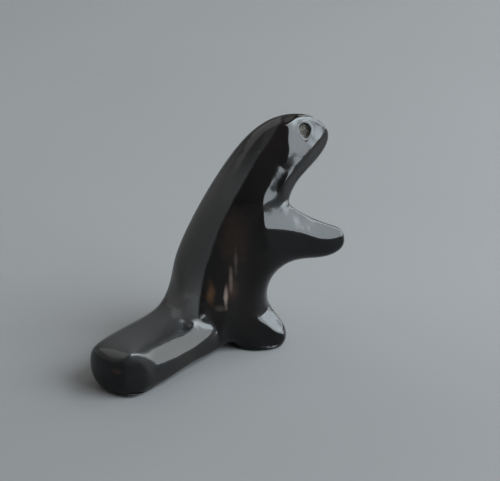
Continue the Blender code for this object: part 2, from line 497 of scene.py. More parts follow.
@dataclass(frozen=True)
class BurnishedClay:
    """Black clay, rubbed to a gloss with a stone and smoked in the fire, with a painted reflection and
    painted highlights in its colour.

    Attributes:
        black: Colour of the smoked clay.
        brown: Colour where less smoke reached it.
        painted_reflection_grey: Colour of a painted reflection, a lighter grey band along the back and on
            top of the tail that stands in for the room mirrored in the clay.
        dust: Colour of the dust specks.
        gloss: Roughness where the stone rubbed most.
        dull: Roughness where it rubbed least.
        reflection_band_rough: Roughness inside the band of painted reflection.
        refraction: Index of refraction of the polished skin.
        band: Middle height, forward place, lean and bend of the front edge of the painted reflection band,
            in millimetres.
        wobble: How much the band's edge wavers, in millimetres.
        fade: Where the band's edge starts and is full, in millimetres behind the edge.
        foot: Heights between which the band comes up, in millimetres.
        crown: Heights between which the band fades again, in millimetres.
        stains_and_glints: The places with their own colour, some of them painted highlights.
    """

    black: Colour = (0.0014, 0.0013, 0.0013)
    brown: Colour = (0.0042, 0.0025, 0.0019)
    # Painted reflection: a lighter grey painted along the back and on top of the tail.
    painted_reflection_grey: Colour = (0.0300, 0.0296, 0.0290)
    dust: Colour = (0.20, 0.195, 0.185)
    gloss: float = 0.12
    dull: float = 0.24
    reflection_band_rough: float = 0.34
    refraction: float = 1.37
    band: tuple[float, float, float, float] = (32.5, -9.2, 0.355, 0.0068)
    wobble: float = 1.2
    fade: tuple[float, float] = (-0.35, 0.55)
    foot: tuple[float, float] = (9.0, 16.0)
    crown: tuple[float, float] = (44.0, 58.0)
    stains_and_glints: tuple[StainAndGlint, ...] = (
        StainAndGlint("brown belly side", (-4.0, -8.0, 34.0), (6.0, 9.0, 12.0), (0.012, 0.0068, 0.0046), 0.9),
        # Painted highlights: the warm streak and the light line up the lower ridge of the flank are glints
        # painted into the colour.
        StainAndGlint("painted warm streak foot", (-4.8, -8.0, 18.8), (2.2, 6.0, 5.6), (0.018, 0.0100, 0.0070), 0.8),
        StainAndGlint("orange spot", (-10.2, -8.0, 18.4), (1.5, 6.0, 4.4), (0.030, 0.0150, 0.0060), 1.0),
        StainAndGlint("painted glint", (-6.3, -8.0, 17.0), (0.8, 6.0, 4.4), (0.125, 0.092, 0.078), 0.9),
        StainAndGlint("painted highlight line middle", (-5.0, -8.0, 21.6), (0.75, 6.0, 5.2), (0.070, 0.052, 0.044), 0.7),
        StainAndGlint("painted highlight line top", (-3.7, -8.0, 27.2), (0.7, 6.0, 5.6), (0.036, 0.030, 0.026), 0.7),
        StainAndGlint("painted highlight line foot", (-7.8, -8.0, 13.6), (1.8, 6.0, 1.4), (0.034, 0.028, 0.024), 0.5),
        # Painted highlight: a reddish glint at the tail's end, painted into the colour.
        StainAndGlint("painted red glint at the tail end", (-33.8, -32.0, 8.0), (2.2, 5.0, 1.2), (0.030, 0.014, 0.012), 0.8),
    )

    def build(self) -> bpy.types.Material:
        """Builds the finish.

        Returns:
            The finished material.
        """
        material, sheet, shader, place = new_material("burnished black clay")
        clouds = CloudsGroup().place(sheet, Place=place, Size=34.0, Cover=0.54, Softness=0.16)
        haze = CloudsGroup().place(sheet, Place=place, Size=160.0, Cover=0.50, Softness=0.22)
        strokes = StrokesGroup().place(sheet, Place=place, Turn=math.radians(32.0))
        grain = GrainGroup().place(sheet, Place=place, Fineness=2600.0)
        specks = SpecksGroup().place(sheet, Place=place)["Mask"]
        colour = sheet.blend(clouds["Mask"], self.black, self.brown)
        # Stains and painted highlights are mixed into the colour here.
        for stain_and_glint in self.stains_and_glints:
            centre, reach = stood(stain_and_glint.centre), scaled(stain_and_glint.reach)
            spot = StainAndGlintGroup().place(sheet, Place=place, Centre=centre, Reach=reach)
            share = sheet.sums("MULTIPLY", spot["Mask"], stain_and_glint.strength)
            colour = sheet.blend(share, colour, stain_and_glint.colour)
            LOG.info("coloured the %s", stain_and_glint.name)
        # Painted reflection: the band along the back and on top of the tail is painted lighter grey, and it
        # is also made rougher.
        reflection_band = self.reflection_band_mask(sheet, place)
        colour = sheet.blend(reflection_band, colour, self.painted_reflection_grey)
        colour = sheet.blend(sheet.sums("MULTIPLY", specks, 0.8), colour, self.dust)
        sheet.join(colour, shader.inputs["Base Color"])
        wear = sheet.total((haze["Mask"], 0.30), (strokes["Mask"], 0.18), (grain["Pits"], 0.25))
        rough = sheet.spread(wear, 0.0, 1.0, self.gloss, self.dull)
        rough = sheet.total((rough, 1.0), (reflection_band, self.reflection_band_rough - self.gloss), (specks, 0.5))
        sheet.join(rough, shader.inputs["Roughness"])
        bumped = sheet.bump(sheet.noise(place, 330.0, 1.0, 0.4), 0.34, 0.00024)
        bumped = sheet.bump(strokes["Height"], 0.10, 0.00008, Normal=bumped)
        bumped = sheet.bump(grain["Height"], 0.05, 0.0001, Normal=bumped)
        sheet.join(bumped, shader.inputs["Normal"])
        shader.inputs["IOR"].default_value = self.refraction
        return material

    def reflection_band_mask(self, sheet: NodeSheet, place: Socket) -> Socket:
        """Builds the mask of the band of painted reflection.

        Args:
            sheet: The material's node sheet.
            place: The object's own place.

        Returns:
            The mask's value.
        """
        level, forward, lean, bend = self.band
        axes = sheet.add("ShaderNodeSeparateXYZ", Vector=place).outputs
        height = sheet.sums("SUBTRACT", axes["Z"], level * MM)
        bent = sheet.sums("MULTIPLY", sheet.sums("MULTIPLY", height, height), bend / MM)
        edge = sheet.sums("ADD", sheet.sums("MULTIPLY", height, lean), bent)
        edge = sheet.sums("ADD", edge, (forward + STAND[0]) * MM)
        inside = sheet.sums("SUBTRACT", edge, axes["X"])
        waver = sheet.sums("SUBTRACT", sheet.noise(place, 120.0, 2.0), 0.5)
        inside = sheet.sums("ADD", inside, sheet.sums("MULTIPLY", waver, self.wobble * MM))
        mask = sheet.spread(inside, self.fade[0] * MM, self.fade[1] * MM)
        above = sheet.spread(axes["Z"], self.foot[0] * MM, self.foot[1] * MM, 0.04, 1.0)
        below = sheet.spread(axes["Z"], self.crown[0] * MM, self.crown[1] * MM, 1.0, 0.25)
        return sheet.sums("MULTIPLY", sheet.sums("MULTIPLY", mask, above), below)


@dataclass(frozen=True)
class RawClay:
    """The rough unburnished clay inside the poked eyes."""

    pale: Colour = (0.085, 0.076, 0.063)
    dark: Colour = (0.022, 0.020, 0.016)
    roughness: float = 0.86

    def build(self) -> bpy.types.Material:
        """Builds the finish.

        Returns:
            The finished material.
        """
        material, sheet, shader, place = new_material("raw clay")
        clouds = CloudsGroup().place(sheet, Place=place, Size=900.0, Cover=0.52, Softness=0.12)
        grain = GrainGroup().place(sheet, Place=place, Fineness=4200.0, Coarse_Share=1.2)
        sheet.join(sheet.blend(clouds["Mask"], self.dark, self.pale), shader.inputs["Base Color"])
        rough = sheet.spread(grain["Height"], 0.4, 1.2, self.roughness - 0.15, self.roughness)
        sheet.join(rough, shader.inputs["Roughness"])
        sheet.join(sheet.bump(grain["Height"], 0.7, 0.0003), shader.inputs["Normal"])
        return material


@dataclass(frozen=True)
class TableTop:
    """The plain matt grey sheet that the figure stands on, with painted shade that darkens it towards the
    viewer.

    Attributes:
        grey: Its colour behind the figure.
        painted_shade_grey: Its colour near the viewer, a darker grey painted as shade.
        roughness: Its roughness.
        sheen: How much it mirrors.
        near: Where the painted shade starts and where it is darkest, from back to front, in metres.
    """

    grey: Colour = (0.131, 0.131, 0.131)
    # Painted shade: the darker grey towards the viewer.
    painted_shade_grey: Colour = (0.101, 0.101, 0.101)
    roughness: float = 0.62
    sheen: float = 0.15
    near: tuple[float, float] = (0.055, -0.040)

    def build(self) -> bpy.types.Material:
        """Builds the finish.

        Returns:
            The finished material.
        """
        material, sheet, shader, place = new_material("grey sheet")
        clouds = CloudsGroup().place(sheet, Place=place, Size=9.0, Cover=0.5, Softness=0.3)
        grain = GrainGroup().place(sheet, Place=place, Fineness=1800.0)
        axes = sheet.add("ShaderNodeSeparateXYZ", Vector=place).outputs
        # Painted shade: the sheet is painted darker towards the viewer, broken up with clouds.
        painted_shade = sheet.spread(axes["Y"], self.near[1], self.near[0], 0.55, 0.0)
        share = sheet.total((painted_shade, 1.0), (clouds["Mask"], 0.15))
        sheet.join(sheet.blend(share, self.grey, self.painted_shade_grey), shader.inputs["Base Color"])
        rough = sheet.spread(grain["Height"], 0.2, 1.2, self.roughness - 0.06, self.roughness)
        sheet.join(rough, shader.inputs["Roughness"])
        sheet.join(sheet.bump(grain["Height"], 0.10, 0.0002), shader.inputs["Normal"])
        shader.inputs["Specular IOR Level"].default_value = self.sheen
        return material


def point_rows(mesh: bpy.types.Mesh, what: str = "co") -> np.ndarray:
    """Reads the places or the normals of a mesh's points.

    Args:
        mesh: The mesh.
        what: Blender's name for what is read.

    Returns:
        One row for each point.
    """
    flat = np.zeros(len(mesh.vertices) * 3, np.float32)
    mesh.vertices.foreach_get(what, flat)
    return flat.reshape(-1, 3).astype(float)


def move_points(mesh: bpy.types.Mesh, points: np.ndarray) -> None:
    """Writes new places for a mesh's points."""
    mesh.vertices.foreach_set("co", points.astype(np.float32).ravel())
    mesh.update()


def shown(name: str, data: bpy.types.ID) -> bpy.types.Object:
    """Puts a mesh, lamp or camera into the scene.

    Args:
        name: The object's name.
        data: What it shows.

    Returns:
        The new object.
    """
    thing = bpy.data.objects.new(name, data)
    bpy.context.scene.collection.objects.link(thing)
    return thing


def hung_together(starts: Iterable, beside: Callable, mark: Callable) -> list[list]:
    """Sorts parts of a mesh into groups that hang together.

    Args:
        starts: The parts.
        beside: Gives the parts next to one part.
        mark: Gives what tells one part from another.

    Returns:
        The groups.
    """
    seen = set()
    groups = []
    for start in starts:
        if mark(start) in seen:
            continue
        seen.add(mark(start))
        group = []
        front = [start]
        while front:
            here = front.pop()
            group.append(here)
            for other in beside(here):
                if mark(other) not in seen:
                    seen.add(mark(other))
                    front.append(other)
        groups.append(group)
    return groups


def smooth_step(value: np.ndarray) -> np.ndarray:
    """Eases values between nought and one."""
    held = np.clip(value, 0.0, 1.0)
    return held * held * (3.0 - 2.0 * held)


@dataclass(frozen=True)
class Viewpoint:
    """The place that the figure is seen from, in millimetres and degrees, and the picture in pixels."""

    target: Point = (*STAND, 29.2)
    distance: float = 500.0
    elevation: float = 25.0
    focal_pixels: float = 1900.0
    width_pixels: float = 500.0
    height_pixels: float = 481.0

    def away(self) -> Vector:
        """Returns the direction from the figure to the eye."""
        rise = math.radians(self.elevation)
        return Vector((0.0, -math.cos(rise), math.sin(rise)))

    def eye(self) -> Vector:
        """Returns the place of the eye."""
        return (Vector(self.target) + self.away() * self.distance) * MM

    def axes(self) -> tuple[np.ndarray, np.ndarray, np.ndarray]:
        """Works out the eye's own directions.

        Returns:
            The directions forward, to the right and up.
        """
        forward = -np.array(self.away())
        right = np.array((1.0, 0.0, 0.0))
        return forward, right, np.cross(right, forward)

    def rays(self, across: np.ndarray, down: np.ndarray) -> np.ndarray:
        """Works out the unit directions from the eye through places on the picture.

        Args:
            across: Pixels from the left edge.
            down: Pixels from the top edge.

        Returns:
            One direction for each place.
        """
        forward, right, upward = self.axes()
        x = (across - self.width_pixels / 2.0) / self.focal_pixels
        y = (self.height_pixels / 2.0 - down) / self.focal_pixels
        ray = forward + x[..., None] * right + y[..., None] * upward
        return ray / np.linalg.norm(ray, axis=-1, keepdims=True)

    def seen(self, points: np.ndarray) -> tuple[np.ndarray, np.ndarray, np.ndarray]:
        """Works out where points lie on the picture and how far off they are.

        Args:
            points: Rows of places.

        Returns:
            Pixels from the left edge, pixels from the top edge, and distances from the eye.
        """
        forward, right, upward = self.axes()
        offset = points - np.array(self.eye())
        depth = offset @ forward
        across = self.width_pixels / 2.0 + offset @ right / depth * self.focal_pixels
        down = self.height_pixels / 2.0 - offset @ upward / depth * self.focal_pixels
        return across, down, np.linalg.norm(offset, axis=1)


@dataclass
class NearSide:
    """The near side of the clay, read along one line of sight for each pixel.

    Attributes:
        across: Pixels from the left edge.
        down: Pixels from the top edge.
        rays: The lines of sight.
        distance: How far off the clay is, or no number where there is none.
        facing: The way that the clay faces.
    """

    across: np.ndarray
    down: np.ndarray
    rays: np.ndarray
    distance: np.ndarray
    facing: np.ndarray


@dataclass
class Burnisher:
    """Gives the near side of the clay its slopes, and keeps the outline that is seen.

    The near side is read as a map of distances from the eye. The slopes wanted in each place are worked
    into the map, and the clay is moved along the lines of sight until it fits the map.

    Attributes:
        left, right, top, bottom: The part of the picture that the figure fills, in pixels.
        facets: The places with their own slopes. A later one lies over an earlier one.
        hold: How firmly the clay keeps its own slope where no facet is.
        anchor: How firmly the clay keeps its own place.
        grip: How soon a facet's slope takes over as its firmness grows.
        steepest: Least share of a slope that faces the eye, so that steep slopes stay bounded.
        break_off: Step in distance between two pixels that counts as an edge.
        reach_behind: How far behind the near side the clay still follows it.
        whole: Share of that depth over which it follows in full.
        passes: Steps of the solver.
        enough: Size of what is left over at which the solver stops.
        rest_level: Height below which the clay keeps its place on the table.
        eases: How often the map of changes is eased.
        rims: How many pixels the maps are carried on beyond the outline.
        view: The place that the figure is seen from.
    """

    left: int = 84
    right: int = 352
    top: int = 106
    bottom: int = 402
    facets: tuple[Facet, ...] = (
        Facet("cheek", (
            (264, 132), (286, 121), (290, 126), (289, 133), (288, 142), (289, 150), (286, 160), (281, 169),
            (272, 181), (265, 194), (261, 204), (255, 204), (256, 165)
        ), (0.1, -0.94, 0.3), 3.0, 0.4),
        Facet("snout side", (
            (296, 118), (306, 117.5), (313, 120.5), (321, 122.5), (327, 128), (325.5, 133.5), (318, 141.5),
            (311, 149.5), (301, 161.5), (295, 168.5), (289, 172), (282, 172), (287, 160), (290, 150),
            (288, 142), (289, 132), (291, 124)
        ), (0.54, -0.8, 0.31), 3.0, turn=(0.0045, 0.0, 0.0)),
        Facet("neck side", (
            (280, 166), (293, 169), (287, 178.5), (283, 188), (281.5, 200), (290, 202), (268, 206),
            (262, 206), (264, 195), (271, 180)
        ), (0.52, -0.76, 0.44), 3.0, 1.6),
        Facet("thumb dent", (
            (285, 176), (289.5, 171.5), (285, 181), (279, 191), (275.5, 193), (279, 184)
        ), (0.055, -0.78, 0.62), 2.0, 0.4),
        Facet("under the chin", (
            (327, 134), (320, 139.5), (311, 151), (300, 164.5), (291, 174.5), (286, 181), (283.5, 189),
            (282, 199.5), (291, 199.5), (290, 193), (301, 178), (311, 166), (323, 148), (329, 137)
        ), (0.83, -0.54, -0.12), 3.0),
        Facet("top of the forepaws", (
            (264, 204), (268, 203), (281, 200.5), (290, 201), (300, 211.5), (312, 219.5), (325, 222.5),
            (336, 225.5), (343, 230), (344.5, 233), (335, 236.5), (326, 238.5), (318, 237.5), (310, 234.5),
            (302, 231.5), (290, 229.8), (264, 229.5), (263.5, 215)
        ), (0.42, -0.76, 0.48), 3.0, turn=(-0.0016, 0.0, 0.0022)),
        Facet("side of the forepaws", (
            (266, 231), (290, 231.3), (302, 233), (310, 236.5), (318, 239.5), (326, 240), (336, 238),
            (345, 235), (344, 243), (336, 249), (318, 252), (290, 250), (268, 250)
        ), (0.4, -0.91, -0.05), 3.0, 0.8),
        Facet("edge of the tail", (
            (196, 318), (206, 316.5), (214, 321), (214, 330), (206, 338.5), (197, 346.5), (187, 352),
            (176, 358), (165, 362.7), (155, 367), (146, 368.5), (138, 362), (136, 358), (150, 357.5),
            (165, 351.5), (175, 345.5), (183, 338), (192, 328)
        ), (0.66, -0.54, 0.51), 4.0),
        Facet("corner of the tail", (
            (124, 359), (136, 358), (146, 363), (152, 370), (150, 376), (144, 390), (124, 391)
        ), (0.3, -0.95, -0.02), 4.0, 0.8),
        Facet("side of the tail", (
            (213, 331), (204, 342), (197, 348), (187, 354), (176, 360), (165, 364.5), (151, 370),
            (150, 384), (166, 379), (186, 369), (206, 355), (220, 345)
        ), (0.74, -0.67, -0.02), 2.0, 1.0),
        Facet("joint of the tail", (
            (192, 314), (206, 313), (222, 319), (222, 338), (214, 336), (212, 327), (206, 321), (198, 321)
        ), (0.1, -0.99, 0.05), 3.0),
        Facet("near end of the tail's edge", (
            (190, 315), (200, 313.5), (210, 318), (218, 330), (214, 334), (208, 325), (200, 320),
            (190, 321)
        ), (0.74, -0.67, -0.02), 3.0),
        Facet("far end of the tail's edge", (
            (130, 354), (140, 354), (151, 361), (157, 367), (153, 373), (147, 370), (140, 362), (130, 360)
        ), (0.74, -0.67, -0.02), 3.0),
        Facet("foot of the flank", (
            (184, 300), (225, 306), (222, 320), (206, 317), (197, 319), (188, 327), (178, 320)
        ), (0.05, -0.99, 0.14), 8.0, 0.4),
        Facet("crown", (
            (280, 112), (296, 110), (310, 112), (322, 117), (327, 122), (320, 121.5), (312, 119),
            (305, 117), (296, 117.5), (291, 121), (286, 126), (279, 123)
        ), (0.06, -0.42, 0.9), 2.0),
        Facet("top of the feet", (
            (261, 319), (265, 312), (268, 309), (272, 310), (281, 319.5), (284.5, 326), (282.5, 331),
            (278, 331), (273, 327), (268, 323)
        ), (0.52, -0.7, 0.48), 3.0),
        Facet("side of the feet", (
            (258, 321), (267, 324.5), (272, 329), (277, 333), (284, 333), (284, 340), (270, 343),
            (250, 338), (248, 326)
        ), (0.18, -0.97, -0.02), 2.0, 0.7),
    )
    hold: float = 0.07
    anchor: float = 0.00015
    grip: float = 8.0
    steepest: float = 0.12
    break_off: float = 1.4 * MM
    reach_behind: float = 22.0 * MM
    whole: float = 0.15
    passes: int = 500
    enough: float = 1e-18
    rest_level: float = 0.8 * MM
    eases: int = 2
    rims: int = 12
    view: Viewpoint = Viewpoint()

    def work(self, skin: bpy.types.Object, pockets: Pockets) -> Pockets:
        """Moves the skin's points to the worked slopes.

        Args:
            skin: The clay object.
            pockets: The middle and outward direction of each eye.

        Returns:
            The eyes' middles and directions on the worked skin.
        """
        near = self.look(skin)
        change = self.solve(near)
        move_points(skin.data, self.moved(point_rows(skin.data), near, change))
        middles = self.moved(np.array([tuple(middle) for middle, _ in pockets]), near, change)
        most = float(np.abs(np.nan_to_num(change)).max() * self.view.distance)
        LOG.info("burnished: the clay moved by up to %.2f mm", most)
        return [(Vector(middle), facing) for middle, (_, facing) in zip(middles, pockets)]

    def look(self, skin: bpy.types.Object) -> NearSide:
        """Reads how far off the clay is along each line of sight, and which way it faces.

        Args:
            skin: The clay object.

        Returns:
            The near side of the clay.
        """
        columns = np.arange(self.left, self.right) + 0.5
        rows = np.arange(self.top, self.bottom) + 0.5
        across, down = np.meshgrid(columns, rows)
        rays = self.view.rays(across, down)
        tree = BVHTree.FromObject(skin, bpy.context.evaluated_depsgraph_get())
        eye = self.view.eye()
        distance = np.full(across.shape, np.nan)
        facing = np.zeros(rays.shape)
        for spot in np.ndindex(across.shape):
            place, normal, _, length = tree.ray_cast(eye, Vector(rays[spot]))
            if place is not None:
                distance[spot] = length
                facing[spot] = normal
        return NearSide(across, down, rays, distance, facing)

    def solve(self, near: NearSide) -> np.ndarray:
        """Works the slopes into the map of distances.

        Args:
            near: The near side of the clay.

        Returns:
            The change of the logarithm of the distance for each place of the map.
        """
        wanted = near.facing.copy()
        firm = np.zeros(near.distance.shape)
        for facet in self.facets:
            cover = self.cover(facet, near)
            middle = np.array(facet.outline).mean(0)
            toward = np.array(facet.facing) + (near.across - middle[0])[..., None] * np.array(facet.turn)
            toward = toward / np.linalg.norm(toward, axis=-1, keepdims=True)
            wanted = wanted + (toward - wanted) * cover[..., None]
            firm = np.maximum(firm * (1.0 - cover), cover * facet.weight)
            LOG.info("burnished the %s", facet.name)
        pulls = [self.pull(axis, near, wanted, firm) for axis in (0, 1)]
        return self.relax(~np.isnan(near.distance), pulls)

    def cover(self, facet: Facet, near: NearSide) -> np.ndarray:
        """Works out how much of each place of the map a facet covers.

        Args:
            facet: The facet.
            near: The near side of the clay.

        Returns:
            The share of each place, from nought to one.
        """
        across, down = near.across, near.down
        corners_of = np.array(facet.outline)
        nearest = np.full(across.shape, np.inf)
        inside = np.zeros(across.shape, bool)
        for first, second in zip(corners_of, np.roll(corners_of, -1, axis=0)):
            side = second - first
            along = ((across - first[0]) * side[0] + (down - first[1]) * side[1]) / (side @ side)
            along = np.clip(along, 0.0, 1.0)
            gap = np.hypot(across - first[0] - along * side[0], down - first[1] - along * side[1])
            nearest = np.minimum(nearest, gap)
            crosses = (first[1] > down) != (second[1] > down)
            height = np.where(side[1] == 0.0, 1.0, side[1])
            inside ^= crosses & (across < first[0] + (down - first[1]) / height * side[0])
        signed = np.where(inside, nearest, -nearest)
        return smooth_step(0.5 + signed / facet.soft)

    def pull(self, axis: int, near: NearSide, wanted: np.ndarray,
             firm: np.ndarray) -> tuple[np.ndarray, np.ndarray]:
        """Works out how the steps between neighbours along one axis are to change.

        Args:
            axis: Nought for neighbours one above the other, one for neighbours side by side.
            near: The near side of the clay.
            wanted: The direction that each place is to face.
            firm: How firmly each place keeps to that direction.

        Returns:
            The wanted change of each step, and how much it counts.
        """
        one = (slice(None, -1), slice(None)) if axis == 0 else (slice(None), slice(None, -1))
        two = (slice(1, None), slice(None)) if axis == 0 else (slice(None), slice(1, None))
        known = ~np.isnan(near.distance)
        start = np.log(np.where(known, near.distance, 1.0))
        joined = known[one] & known[two]
        joined &= np.abs(np.where(joined, near.distance[two] - near.distance[one], 1.0)) < self.break_off
        ray = (near.rays[one] + near.rays[two]) / 2.0
        step = near.rays[two] - near.rays[one]
        normal = (wanted[one] + wanted[two]) / 2.0
        toward_eye = (normal * ray).sum(-1)
        toward_eye = np.where(toward_eye < -self.steepest, toward_eye, -self.steepest)
        slope = -(normal * step).sum(-1) / toward_eye
        own = start[two] - start[one]
        share = (firm[one] + firm[two]) / 2.0
        change = np.where(joined, (slope - own) * np.clip(share * self.grip, 0.0, 1.0), 0.0)
        weight = self.hold + (1.0 - self.hold) * firm
        force = np.where(joined, (weight[one] + weight[two]) / 2.0, 0.0)
        return change, force

    def relax(self, known: np.ndarray, pulls: list[tuple[np.ndarray, np.ndarray]]) -> np.ndarray:
        """Solves for the change that comes closest to all the wanted steps, by conjugate gradients.

        Args:
            known: Where the map has clay.
            pulls: The wanted change of each step along each axis, and how much it counts.

        Returns:
            The change for each place of the map, or no number where there is no clay.
        """
        def spread_out(field: np.ndarray) -> np.ndarray:
            """Works out how firmly a change is held back.

            Args:
                field: The change for each place of the map.

            Returns:
                The force on each place.
            """
            result = field * self.anchor
            for axis, (_, force) in enumerate(pulls):
                result = result - self.gather(np.diff(field, axis=axis) * force, axis)
            return result

        aim = np.zeros(known.shape)
        for axis, (change, force) in enumerate(pulls):
            aim -= self.gather(change * force, axis)
        field = np.zeros(known.shape)
        rest = aim - spread_out(field)
        heading = rest.copy()
        size = float((rest * rest).sum())
        for _ in range(self.passes):
            pushed = spread_out(heading)
            stride = size / max(float((heading * pushed).sum()), TINY)
            field += stride * heading
            rest -= stride * pushed
            fresh = float((rest * rest).sum())
            if fresh < self.enough:
                break
            heading = rest + heading * (fresh / size)
            size = fresh
        return np.where(known, field, np.nan)

    @staticmethod
    def gather(flow: np.ndarray, axis: int) -> np.ndarray:
        """Sums what flows into each place of the map along one axis.

        Args:
            flow: What flows from each place to the next.
            axis: The axis.

        Returns:
            What each place gains.
        """
        pad = [(0, 0), (0, 0)]
        pad[axis] = (1, 1)
        return np.diff(np.pad(flow, pad), axis=axis)

    def moved(self, points: np.ndarray, near: NearSide, change: np.ndarray) -> np.ndarray:
        """Moves points along their lines of sight.

        Args:
            points: Rows of places.
            near: The near side of the clay.
            change: The map of changes.

        Returns:
            The moved places.
        """
        across, down, away = self.view.seen(points)
        surface, shift = self.filled(near.distance), self.eased(self.filled(change))
        column = np.clip(across - self.left - 0.5, 0.0, surface.shape[1] - 1.001)
        row = np.clip(down - self.top - 0.5, 0.0, surface.shape[0] - 1.001)
        behind = away - self.sample(surface, row, column)
        share = smooth_step(1.0 + self.whole - np.abs(behind) / self.reach_behind)
        share = share * smooth_step((points[:, 2] - self.rest_level) / self.rest_level)
        factor = np.exp(self.sample(shift, row, column) * share)
        eye = np.array(self.view.eye())
        return eye + (points - eye) * factor[:, None]

    def filled(self, field: np.ndarray) -> np.ndarray:
        """Spreads a map outwards over the places that have no number yet.

        Args:
            field: The map.

        Returns:
            The map with a number in each place.
        """
        result = field.copy()
        for _ in range(self.rims):
            known = ~np.isnan(result)
            if known.all():
                break
            total = np.zeros(result.shape)
            count = np.zeros(result.shape)
            solid = np.where(known, result, 0.0)
            for axis in (0, 1):
                for step in (1, -1):
                    total += np.roll(solid, step, axis)
                    count += np.roll(known, step, axis)
            fresh = ~known & (count > 0)
            result[fresh] = total[fresh] / count[fresh]
        return np.nan_to_num(result, nan=float(np.nanmean(field)))

    def eased(self, field: np.ndarray) -> np.ndarray:
        """Eases a map over its nearest places.

        Args:
            field: The map.

        Returns:
            The eased map.
        """
        for _ in range(self.eases):
            for axis in (0, 1):
                field = (np.roll(field, 1, axis) + 2.0 * field + np.roll(field, -1, axis)) / 4.0
        return field

    @staticmethod
    def sample(field: np.ndarray, row: np.ndarray, column: np.ndarray) -> np.ndarray:
        """Reads a map between its places.

        Args:
            field: The map.
            row: How far down each wanted place lies.
            column: How far to the right each wanted place lies.

        Returns:
            The map's value in each wanted place.
        """
        r, c = row.astype(int), column.astype(int)
        v, u = row - r, column - c
        upper = field[r, c] * (1.0 - u) + field[r, c + 1] * u
        lower = field[r + 1, c] * (1.0 - u) + field[r + 1, c + 1] * u
        return upper * (1.0 - v) + lower * v


@dataclass(frozen=True)
class EyeHollow:
    """One poked eye, with its sizes in millimetres.

    Attributes:
        side: The side of the head that it lies on.
        shift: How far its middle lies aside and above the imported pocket's middle.
        width: Width at its middle.
        height: Height of its outline.
        depth: How deep it goes.
        lip: How high the clay stands around it.
        taper: How much narrower its foot is, as a share.
        widest: How far above its middle it is widest, as a share of half its height.
        rim: Where the clay starts to sink and over how much it does, as shares of the outline.
        ridge: Where the lip is highest and how wide it is, as shares of the outline.
        waves: How fine the floor's roughness is along each axis.
        shallow: Depth near its edge, as a share of the depth in its middle.
        uneven: How rough its floor is.
        reach: How far from its middle the skin can change.
    """

    side: Side
    shift: tuple[float, float] = (0.0, 0.0)
    width: float = 3.4
    height: float = 4.3
    depth: float = 1.5
    lip: float = 0.05
    taper: float = 0.30
    widest: float = 0.3
    rim: tuple[float, float] = (1.04, 0.20)
    ridge: tuple[float, float] = (1.22, 0.16)
    waves: Point = (7.1, 5.2, 6.3)
    shallow: float = 0.55
    uneven: float = 0.12
    reach: float = 3.6

    def sink(self, points: np.ndarray, outward: np.ndarray, middle: np.ndarray,
             facing: np.ndarray) -> tuple[np.ndarray, np.ndarray]:
        """Works out how far the eye sinks each point.

        Args:
            points: The skin's points.
            outward: The skin's point normals.
            middle: The eye's middle.
            facing: The eye's outward direction.

        Returns:
            The depth at each point, and how much each point lies inside the eye.
        """
        up = np.array((0.0, 0.0, 1.0))
        up = up - facing * (up @ facing)
        up /= np.linalg.norm(up)
        across = (points - middle) @ np.cross(up, facing) / MM - self.shift[0]
        along = (points - middle) @ up / MM - self.shift[1]
        narrow = 1.0 - self.taper * np.clip(-along / (self.height * 0.5), -self.widest, 1.0)
        span = np.sqrt((across / (self.width * 0.5 * narrow)) ** 2 + (along / (self.height * 0.5)) ** 2)
        close = (np.linalg.norm(points - middle, axis=1) < self.reach * MM) & (outward @ facing > 0.2)
        inner = smooth_step((self.rim[0] - span) / self.rim[1])
        floor = self.shallow + (1.0 - self.shallow) * smooth_step((1.0 - span) / 0.8)
        x, y, z = points.T / MM
        rough = self.uneven * np.sin(x * self.waves[0]) * np.sin(z * self.waves[2] + y * self.waves[1])
        lip = np.exp(-((span - self.ridge[0]) / self.ridge[1]) ** 2) * self.lip
        depth = (inner * (self.depth * floor + rough) - lip * (1.0 - inner)) * MM
        return np.where(close, depth, 0.0), np.where(close, inner, 0.0)


